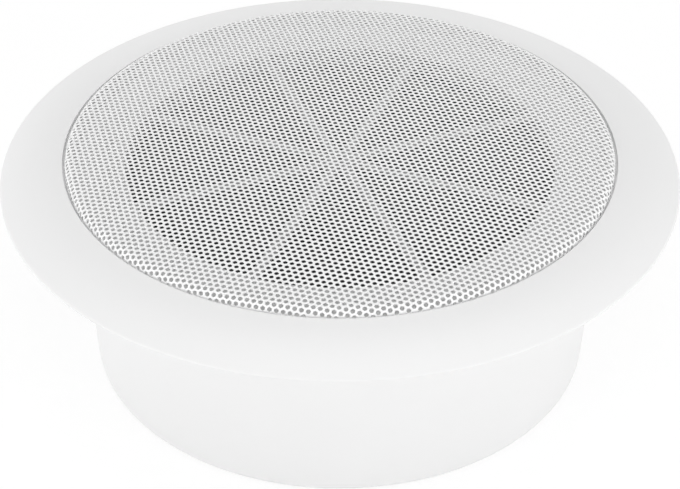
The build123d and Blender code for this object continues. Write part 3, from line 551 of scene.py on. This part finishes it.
class SPEAKER_OT_press_grille(bpy.types.Operator):
    """Pierce a flat sheet on a staggered lattice, press its dome and roll its rim"""

    bl_idname = "speaker.press_grille"
    bl_label = "Press grille"

    def execute(self, context):
        sizes = context.scene.speaker_grille
        sheet, holes = self.pierced_sheet(sizes)
        self.press(sheet, sizes)
        thicken = sheet.modifiers.new("sheet", "SOLIDIFY")
        thicken.thickness = sizes.sheet
        thicken.offset = -1
        # The sheet's back takes the second finish
        thicken.material_offset = 1
        tints = context.scene.speaker_finish
        paint = finish("grille_powder_coat", tints.paint)
        bare = finish("grille_bare_steel", tints.bare_sheet)
        coat(sheet, paint)
        sheet.data.materials.append(bare)
        apply_modifiers(sheet)
        self.draw_holes(sheet, holes, sizes)
        for face in sheet.data.polygons:
            # The paint reaches round the rim to the back
            if math.hypot(face.center.x, face.center.y) > GRILLE_HIGH.x - sizes.coated_rim:
                face.material_index = 0
        bpy.ops.object.shade_smooth_by_angle(angle=SHARP)
        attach(sheet, "housing")
        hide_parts("grille")
        return {"FINISHED"}

    def pierced_sheet(self, sizes):
        """Flat sheet with a plain round edge, and the corners of its holes.

        The holes are six-sided and have the area of round ones.
        """
        pitch = sizes.hole_pitch
        corner = sizes.hole_width / 2 * math.sqrt(2 * math.pi / math.sqrt(27))
        flat = corner * math.sqrt(3)
        near = corner / 9
        deselect()
        bpy.ops.mesh.primitive_circle_add(vertices=6, radius=corner, fill_type="NGON")
        sheet = bpy.context.object
        sheet.name = sheet.data.name = "pressed_grille"
        # Webs from three sides of the plug to its neighbours, and the two corners that they leave
        edit(sheet)
        for turn in (0, 60, 120):
            way = heading(turn)
            pick(sheet, "edges", lambda middle, edge: (middle - way * flat / 2).length < near)
            bpy.ops.mesh.extrude_edges_move(TRANSFORM_OT_translate={"value": way * (pitch - flat)})
        for turn in (30, 90):
            gap = heading(turn) * pitch / math.sqrt(3)
            reach = pitch / math.sqrt(3) - corner
            pick(sheet, "verts", lambda middle, vert: abs((middle - gap).length - reach) < near)
            bpy.ops.mesh.edge_face_add()
        bpy.ops.object.mode_set(mode="OBJECT")
        # Rows and columns over a rhombus that holds the whole sheet
        copies = 2 * math.ceil(sizes.pierced_radius / (pitch * math.sin(math.radians(60)))) + 2
        for turn in (0, 60):
            rows = sheet.modifiers.new("rows", "ARRAY")
            rows.count = copies
            rows.use_relative_offset = False
            rows.use_constant_offset = True
            rows.constant_offset_displace = heading(turn) * pitch
        apply_modifiers(sheet)
        start = (heading(0) + heading(60)) * pitch * -(copies // 2)
        sheet.rotation_euler.z = sizes.row_angle
        start.rotate(sheet.rotation_euler)
        sheet.location = start + Vector((sizes.first_x, sizes.first_y, 0))
        bpy.ops.object.transform_apply(location=True, rotation=True, scale=True)
        edit(sheet)
        bpy.ops.mesh.select_all(action="SELECT")
        bpy.ops.mesh.remove_doubles(threshold=corner / 20)
        pick(sheet, "faces", lambda middle, face: middle.length > sizes.pierced_radius)
        bpy.ops.mesh.delete(type="FACE")
        # Plain edge round the pierced field, then the skirt, still flat
        field_edge = sizes.pierced_radius + 1.5 * corner
        bpy.ops.mesh.primitive_circle_add(
            vertices=sizes.rim_steps, radius=field_edge, fill_type="NOTHING", enter_editmode=False
        )
        pick(sheet, "edges", lambda middle, edge: len(edge.link_faces) < 2)
        bpy.ops.mesh.fill(use_beauty=True)
        pick(sheet, "edges", lambda middle, edge: len(edge.link_faces) < 2)
        skirt_end = self.profile(sizes)["skirt"]
        bpy.ops.mesh.extrude_edges_move()
        bpy.ops.transform.resize(value=(skirt_end / field_edge, skirt_end / field_edge, 1))
        bpy.ops.mesh.select_all(action="SELECT")
        bpy.ops.mesh.normals_make_consistent(inside=False)
        bpy.ops.object.mode_set(mode="OBJECT")
        if sum(face.normal.z for face in sheet.data.polygons) < 0:
            sheet.data.flip_normals()
        # The plugs fall out last, so that their corners are known
        holes = [list(face.vertices) for face in sheet.data.polygons if len(face.vertices) == 6]
        edit(sheet)
        pick(sheet, "faces", lambda middle, face: len(face.verts) == 6)
        bpy.ops.mesh.delete(type="ONLY_FACE")
        bpy.ops.object.mode_set(mode="OBJECT")
        return sheet, holes

    def profile(self, sizes):
        """Where the dome, the rolled rim and the skirt meet, and the radii on the flat sheet."""
        radius = GRILLE_HIGH.x + sizes.spread
        lean = math.atan((2 * sizes.bow + 4 * sizes.edge_bow) / radius)
        dome_end = radius - sizes.bend * (1 - math.sin(lean))
        share = dome_end / radius
        dome_end_z = GRILLE_HIGH.z - sizes.bow * share**2 - sizes.edge_bow * share**4
        centre_z = dome_end_z - sizes.bend * math.cos(lean)
        bend_end = dome_end + sizes.bend * (math.pi / 2 - lean)
        return {
            "radius": radius,
            "lean": lean,
            "dome": dome_end,
            "centre_z": centre_z,
            "bend": bend_end,
            "skirt": bend_end + centre_z - GRILLE_LOW.z,
        }

    def press(self, sheet, sizes):
        """Moves each point of the flat sheet to its place on the dome, the rolled rim or the skirt."""
        form = self.profile(sizes)
        for vert in sheet.data.vertices:
            flat = math.hypot(vert.co.x, vert.co.y)
            if flat <= form["dome"]:
                share = flat / form["radius"]
                vert.co.z = GRILLE_HIGH.z - sizes.bow * share**2 - sizes.edge_bow * share**4
                continue
            turn = min(form["lean"] + (flat - form["dome"]) / sizes.bend, math.pi / 2)
            radius = form["radius"] - sizes.bend * (1 - math.sin(turn))
            drop = max(flat - form["bend"], 0)
            vert.co.x *= radius / flat
            vert.co.y *= radius / flat
            vert.co.z = form["centre_z"] + sizes.bend * math.cos(turn) - drop
        sheet.data.update()

    def draw_holes(self, sheet, holes, sizes):
        """Narrows each hole towards the sheet's back, as a punch draws its edge down."""
        verts = sheet.data.vertices
        back = len(verts) // 2
        share = 1 - sizes.hole_back / sizes.hole_width
        for hole in holes:
            corners = [verts[index + back] for index in hole]
            middle = sum((corner.co for corner in corners), Vector()) / len(corners)
            for corner in corners:
                corner.co += (middle - corner.co) * share
        sheet.data.update()


def cut(piece, length_x, length_y, depth):
    """Cuts a slot into the top of an object that stands upright on the Z axis."""
    top = max(vert.co.z for vert in piece.data.vertices)
    deselect()
    bpy.ops.mesh.primitive_cube_add(size=1, location=(0, 0, top), scale=(length_x, length_y, 2 * depth))
    cutter = bpy.context.object
    slot = piece.modifiers.new("slot", "BOOLEAN")
    slot.object = cutter
    slot.operation = "DIFFERENCE"
    slot.solver = "EXACT"
    apply_modifiers(piece)
    bpy.data.objects.remove(cutter)


def set_copies(first, spots, name, replaced, material):
    """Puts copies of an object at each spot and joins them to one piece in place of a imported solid."""
    copies = []
    for spot in spots:
        activate(first)
        bpy.ops.object.duplicate()
        bpy.context.object.matrix_world = spot
        copies.append(bpy.context.object)
    bpy.data.objects.remove(first)
    activate(copies[0])
    for copy in copies:
        copy.select_set(True)
    if len(copies) > 1:
        bpy.ops.object.join()
    bpy.ops.object.transform_apply(location=True, rotation=True, scale=True)
    piece = bpy.context.object
    piece.name = piece.data.name = name
    bpy.ops.object.shade_smooth_by_angle(angle=SCREW_SHARP)
    coat(piece, material)
    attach(piece, "housing")
    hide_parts(replaced)


class SPEAKER_OT_drive_screws(bpy.types.Operator):
    """Make the cross-head screws of the can, the driver and the terminal block, and the clamp screws"""

    bl_idname = "speaker.drive_screws"
    bl_label = "Drive screws"

    def execute(self, context):
        sizes = context.scene.speaker_screws
        tints = context.scene.speaker_finish
        zinc = finish("screw_zinc", tints.zinc)
        quarter = math.pi / 2
        # Can: heads outwards, on the four sides
        low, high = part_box("can_screws")
        seat = high.x - sizes.head_height
        out = Matrix.Translation((seat, 0, (low.z + high.z) / 2)) @ Matrix.Rotation(quarter, 4, "Y")
        spots = [Matrix.Rotation(quarter * turn, 4, "Z") @ out for turn in range(4)]
        first = self.screw(sizes, sizes.can_reach)
        set_copies(first, spots, "can_screw_set", "can_screws", zinc)
        # Driver: heads down, between the sides
        low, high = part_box("driver_screws")
        around = (high.x - sizes.head / 2) * math.sqrt(2)
        seat = low.z + sizes.head_height
        out = Matrix.Translation((around, 0, seat)) @ Matrix.Rotation(math.pi, 4, "X")
        spots = [Matrix.Rotation(quarter * (turn + 0.5), 4, "Z") @ out for turn in range(4)]
        first = self.screw(sizes, high.z - seat)
        set_copies(first, spots, "driver_screw_set", "driver_screws", zinc)
        # Terminal block: head up, in its well
        low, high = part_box("block_screw")
        seat = high.z - sizes.head_height
        spots = [Matrix.Translation((0, (low.y + high.y) / 2, seat))]
        first = self.screw(sizes, seat - low.z)
        set_copies(first, spots, "block_screw_piece", "block_screw", zinc)
        self.clamp_screws(sizes, tints)
        return {"FINISHED"}

    def screw(self, sizes, reach):
        """Pan-head screw with a cross recess, its head standing on the XY plane and its thread below."""
        deselect()
        bpy.ops.mesh.primitive_cylinder_add(
            vertices=sizes.head_steps,
            radius=sizes.head / 2,
            depth=sizes.head_height,
            location=(0, 0, sizes.head_height / 2),
        )
        made = bpy.context.object
        bpy.ops.object.transform_apply(location=True, rotation=True, scale=True)
        edit(made)
        pick(made, "edges", lambda middle, edge: middle.z > sizes.head_height * 0.99)
        bpy.ops.mesh.bevel(offset=sizes.head_round, segments=4)
        pick(made, "faces", lambda middle, face: face.normal.z < -0.99)
        bpy.ops.mesh.inset(thickness=(sizes.head - sizes.thread) / 2)
        turns = round(reach / sizes.turn)
        half = (0, 0, -reach / turns / 2)
        share = sizes.core / sizes.thread
        for scale in (share, 1 / share) * turns:
            bpy.ops.mesh.extrude_region_move(TRANSFORM_OT_translate={"value": half})
            bpy.ops.transform.resize(value=(scale, scale, 1))
        bpy.ops.object.mode_set(mode="OBJECT")
        cut(made, sizes.cross, sizes.cross_width, sizes.cross_depth)
        cut(made, sizes.cross_width, sizes.cross, sizes.cross_depth)
        return made

    def clamp_screws(self, sizes, tints):
        """Slotted screws without heads, in the wells of the terminal block."""
        low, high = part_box("clamp_screws")
        radius = (high.y - low.y) / 2
        tall = high.z - low.z
        deselect()
        bpy.ops.mesh.primitive_cylinder_add(vertices=sizes.clamp_steps, radius=radius, depth=tall)
        made = bpy.context.object
        edit(made)
        pick(made, "edges", lambda middle, edge: abs(middle.z) > tall * 0.49)
        bpy.ops.mesh.bevel(offset=radius / 6, segments=2)
        bpy.ops.object.mode_set(mode="OBJECT")
        cut(made, 3 * radius, sizes.slot, sizes.slot)
        tin = finish("clamp_tin", tints.tin)
        middle = (low + high) / 2
        spots = [Matrix.Translation((x, middle.y, middle.z)) for x in (low.x + radius, high.x - radius)]
        set_copies(made, spots, "clamp_screw_set", "clamp_screws", tin)


class SPEAKER_OT_flex_driver(bpy.types.Operator):
    """Let copies of the surround, the spider and the braided leads flex with the cone"""

    bl_idname = "speaker.flex_driver"
    bl_label = "Flex driver"

    def execute(self, context):
        sizes = context.scene.speaker_flex
        foot = sizes.surround_foot
        self.flex_disc("surround", "flexing_surround", "black_rubber", foot, foot)
        self.flex_disc("spider", "flexing_spider", "spider_cloth", sizes.spider_collar, sizes.spider_foot)
        leads = loose_copy("tinsel_leads", "flexing_leads")
        low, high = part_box("tinsel_leads")
        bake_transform(leads, "housing", "diaphragm", start=(0, high.y, high.z), end=(0, low.y, high.z))
        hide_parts("tinsel_leads")
        return {"FINISHED"}

    def flex_disc(self, solid, name, slot, inner_foot, outer_foot):
        """Ring that moves with the cone at its inner foot and stays with the housing at its outer one."""
        piece = loose_copy(solid, name)
        radii = [math.hypot(vert.co.x, vert.co.y) for vert in piece.data.vertices]
        inner = min(radii) + inner_foot
        outer = max(radii) - outer_foot
        height = piece.data.vertices[0].co.z
        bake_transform(piece, "housing", "diaphragm", start=(outer, 0, height), end=(inner, 0, height))
        shares = piece.data.attributes["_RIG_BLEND"].data
        for share, radius in zip(shares, radii):
            way = min(max((outer - radius) / (outer - inner), 0), 1)
            # Eased at both ends, so that the ring doesn't kink at its feet
            share.value = way * way * (3 - 2 * way)
        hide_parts(solid)


class SPEAKER_OT_finish_housing(bpy.types.Operator):
    """Finish the moulded frame and can, their seal and the cable bush"""

    bl_idname = "speaker.finish_housing"
    bl_label = "Finish housing"

    def execute(self, context):
        tints = context.scene.speaker_finish
        plastic = finish("moulded_white", tints.plastic)
        spoke_shade = finish("thin_white", tints.shaded_plastic)
        moulding = bpy.data.objects["moulded_frame"]
        coat(moulding, plastic)
        moulding.data.materials.append(spoke_shade)
        # The spokes and the hub take the second finish, a darker copy of the plastic that paints in the shade
        # they lie in under the grille
        opening = context.scene.speaker_frame.opening
        for face in moulding.data.polygons:
            face.material_index = int(face.center.xy.length < opening)
        coat_nodes(plastic, "rear_can")
        foam = finish("seal_foam", tints.foam)
        coat_nodes(foam, "can_seal", "driver_gasket")
        rubber = finish("matt_rubber", tints.rubber)
        coat_nodes(rubber, "cable_grommet", "surround")
        return {"FINISHED"}


class SPEAKER_OT_finish_driver(bpy.types.Operator):
    """Finish the driver's cone, basket and magnet"""

    bl_idname = "speaker.finish_driver"
    bl_label = "Finish driver"

    def execute(self, context):
        tints = context.scene.speaker_finish
        paper = finish("cone_pulp", tints.paper)
        coat_nodes(paper, "cone", "dust_cap")
        cloth = finish("treated_cotton", tints.cloth)
        coat_nodes(cloth, "spider")
        paint = finish("basket_black", tints.black_paint)
        coat_nodes(paint, "basket")
        ferrite = finish("ground_ferrite", tints.ferrite)
        coat_nodes(ferrite, "magnet")
        foil = finish("former_foil", tints.foil)
        coat_nodes(foil, "coil_former")
        wire = finish("enamelled_copper", tints.copper)
        coat_nodes(wire, "voice_coil", "tinsel_leads")
        zinc = finish("zinc_plate", tints.zinc)
        coat_nodes(zinc, "top_plate", "yoke")
        return {"FINISHED"}


class SPEAKER_OT_finish_wiring(bpy.types.Operator):
    """Finish the terminal board, the terminal block and the leads"""

    bl_idname = "speaker.finish_wiring"
    bl_label = "Finish wiring"

    def execute(self, context):
        tints = context.scene.speaker_finish
        board = finish("phenolic_board", tints.board)
        coat_nodes(board, "terminal_board")
        tin = finish("tinned_brass", tints.tin)
        coat_nodes(tin, "board_rivet", "solder_tags")
        block = finish("moulded_block", tints.block)
        coat_nodes(block, "terminal_block")
        for name, tint in (("lead_red", tints.red_wire), ("lead_black", tints.black_wire)):
            insulation = finish(name + "_insulation", tint)
            coat_nodes(insulation, name)
        return {"FINISHED"}


def seen_as_white(tree):
    """Socket that is 1 for rays that should meet a plain white stage: from the camera, a gloss or glass."""
    path = node(tree, "ShaderNodeLightPath")
    mirrored = node(tree, "ShaderNodeMath", operation="MAXIMUM")
    tree.links.new(path.outputs["Is Glossy Ray"], mirrored.inputs[0])
    tree.links.new(path.outputs["Is Transmission Ray"], mirrored.inputs[1])
    seen = node(tree, "ShaderNodeMath", operation="MAXIMUM")
    tree.links.new(path.outputs["Is Camera Ray"], seen.inputs[0])
    tree.links.new(mirrored.outputs["Value"], seen.inputs[1])
    return seen.outputs["Value"]


class SPEAKER_OT_set_stage(bpy.types.Operator):
    """Lay the white floor, light the speaker softly and set the camera"""

    bl_idname = "speaker.set_stage"
    bl_label = "Set stage"

    def execute(self, context):
        stage = context.scene.speaker_stage
        context.scene.view_settings.view_transform = "Standard"
        self.lay_floor(stage)
        self.set_sky(stage)
        self.set_lamps(stage)
        self.set_camera(stage)
        return {"FINISHED"}

    def lay_floor(self, stage):
        """Wide pale floor that keeps the soft shadow near the speaker and shows white farther out."""
        deselect()
        level = CAD_LOW.z - stage.floor_drop
        bpy.ops.mesh.primitive_plane_add(size=stage.floor_size, location=(0, 0, level))
        floor = bpy.context.object
        floor.name = "studio_floor"
        made = bpy.data.materials.new("studio_white")
        made.use_nodes = True
        tree = made.node_tree
        tree.nodes.clear()
        seen = seen_as_white(tree)
        place = node(tree, "ShaderNodeTexCoord")
        away = node(tree, "ShaderNodeVectorMath", operation="LENGTH")
        whiteness = node(
            tree,
            "ShaderNodeMapRange",
            inputs={
                "From Min": stage.shadow_reach,
                "From Max": 2 * stage.shadow_reach,
                "To Min": stage.shadow_white,
                "To Max": 1.0,
            },
        )
        share = node(tree, "ShaderNodeMath", operation="MULTIPLY")
        paper = node(tree, "ShaderNodeBsdfDiffuse", inputs={"Color": stage.floor_tint})
        glow = node(tree, "ShaderNodeEmission", inputs={"Strength": stage.floor_glow})
        mixed = node(tree, "ShaderNodeMixShader")
        end = node(tree, "ShaderNodeOutputMaterial")
        tree.links.new(place.outputs["Object"], away.inputs[0])
        tree.links.new(away.outputs["Value"], whiteness.inputs["Value"])
        tree.links.new(seen, share.inputs[0])
        tree.links.new(whiteness.outputs["Result"], share.inputs[1])
        tree.links.new(share.outputs["Value"], mixed.inputs["Fac"])
        tree.links.new(paper.outputs["BSDF"], mixed.inputs[1])
        tree.links.new(glow.outputs["Emission"], mixed.inputs[2])
        tree.links.new(mixed.outputs["Shader"], end.inputs["Surface"])
        coat(floor, made)

    def set_sky(self, stage):
        """Soft light from all round, seen as plain white."""
        world = bpy.data.worlds.new("studio_sky")
        bpy.context.scene.world = world
        world.use_nodes = True
        tree = world.node_tree
        tree.nodes.clear()
        seen = seen_as_white(tree)
        soft = node(tree, "ShaderNodeBackground", inputs={"Color": (1, 1, 1, 1), "Strength": stage.sky})
        white = node(tree, "ShaderNodeBackground", inputs={"Color": (1, 1, 1, 1), "Strength": 1.0})
        mixed = node(tree, "ShaderNodeMixShader")
        end = node(tree, "ShaderNodeOutputWorld")
        tree.links.new(seen, mixed.inputs["Fac"])
        tree.links.new(soft.outputs["Background"], mixed.inputs[1])
        tree.links.new(white.outputs["Background"], mixed.inputs[2])
        tree.links.new(mixed.outputs["Shader"], end.inputs["Surface"])

    def set_lamps(self, stage):
        """Ring of large, low lamps, stronger in front, and a few weaker ones above."""
        for name, around, rise, power in LAMPS:
            deselect()
            way = Vector((math.cos(math.radians(rise)), 0, math.sin(math.radians(rise))))
            way.rotate(Euler((0, 0, math.radians(around - 90))))
            place = way * stage.lamp_distance + Vector((0, 0, LAMP_AIM))
            bpy.ops.object.light_add(type="AREA", location=place)
            lamp = bpy.context.object
            lamp.name = name + "_lamp"
            lamp.rotation_euler = (-way).to_track_quat("-Z", "Y").to_euler()
            lamp.visible_camera = False
            lamp.data.shape = "DISK"
            lamp.data.size = stage.lamp_size
            lamp.data.energy = power

    def set_camera(self, stage):
        """Camera in front of the speaker, looking down on it."""
        deselect()
        bpy.ops.object.camera_add()
        camera = bpy.context.object
        back = Vector((0, -math.cos(stage.camera_rise), math.sin(stage.camera_rise)))
        camera.location = Vector((0, 0, stage.aim_height)) + back * stage.camera_distance
        camera.rotation_euler = (math.pi / 2 - stage.camera_rise, 0, 0)
        camera.data.lens = stage.lens
        camera.data.clip_start = 10 * MM
        bpy.context.scene.camera = camera


STEPS = (
    SPEAKER_OT_mould_frame,
    SPEAKER_OT_press_grille,
    SPEAKER_OT_finish_housing,
    SPEAKER_OT_finish_driver,
    SPEAKER_OT_finish_wiring,
    SPEAKER_OT_drive_screws,
    SPEAKER_OT_flex_driver,
    SPEAKER_OT_set_stage,
)


class SPEAKER_PT_parts(bpy.types.Panel):
    """Lists the steps that make the speaker"""

    bl_idname = "SPEAKER_PT_parts"
    bl_label = "In-ceiling speaker"
    bl_space_type = "VIEW_3D"
    bl_region_type = "UI"
    bl_category = "Speaker"

    def draw(self, context):
        for step in STEPS:
            self.layout.operator(step.bl_idname)


GROUPS = {
    "speaker_grille": SpeakerGrille,
    "speaker_frame": SpeakerFrame,
    "speaker_screws": SpeakerScrews,
    "speaker_flex": SpeakerFlex,
    "speaker_finish": SpeakerFinish,
    "speaker_stage": SpeakerStage,
}


def register():
    for made in (*GROUPS.values(), *STEPS, SPEAKER_PT_parts):
        bpy.utils.register_class(made)
    for name, made in GROUPS.items():
        setattr(bpy.types.Scene, name, bpy.props.PointerProperty(type=made))


def unregister():
    for name in GROUPS:
        delattr(bpy.types.Scene, name)
    for made in (SPEAKER_PT_parts, *reversed(STEPS), *GROUPS.values()):
        bpy.utils.unregister_class(made)


def main():
    register()
    for step in STEPS:
        group, name = step.bl_idname.split(".")
        getattr(getattr(bpy.ops, group), name)()
    deselect()


if __name__ == "__main__":
    main()
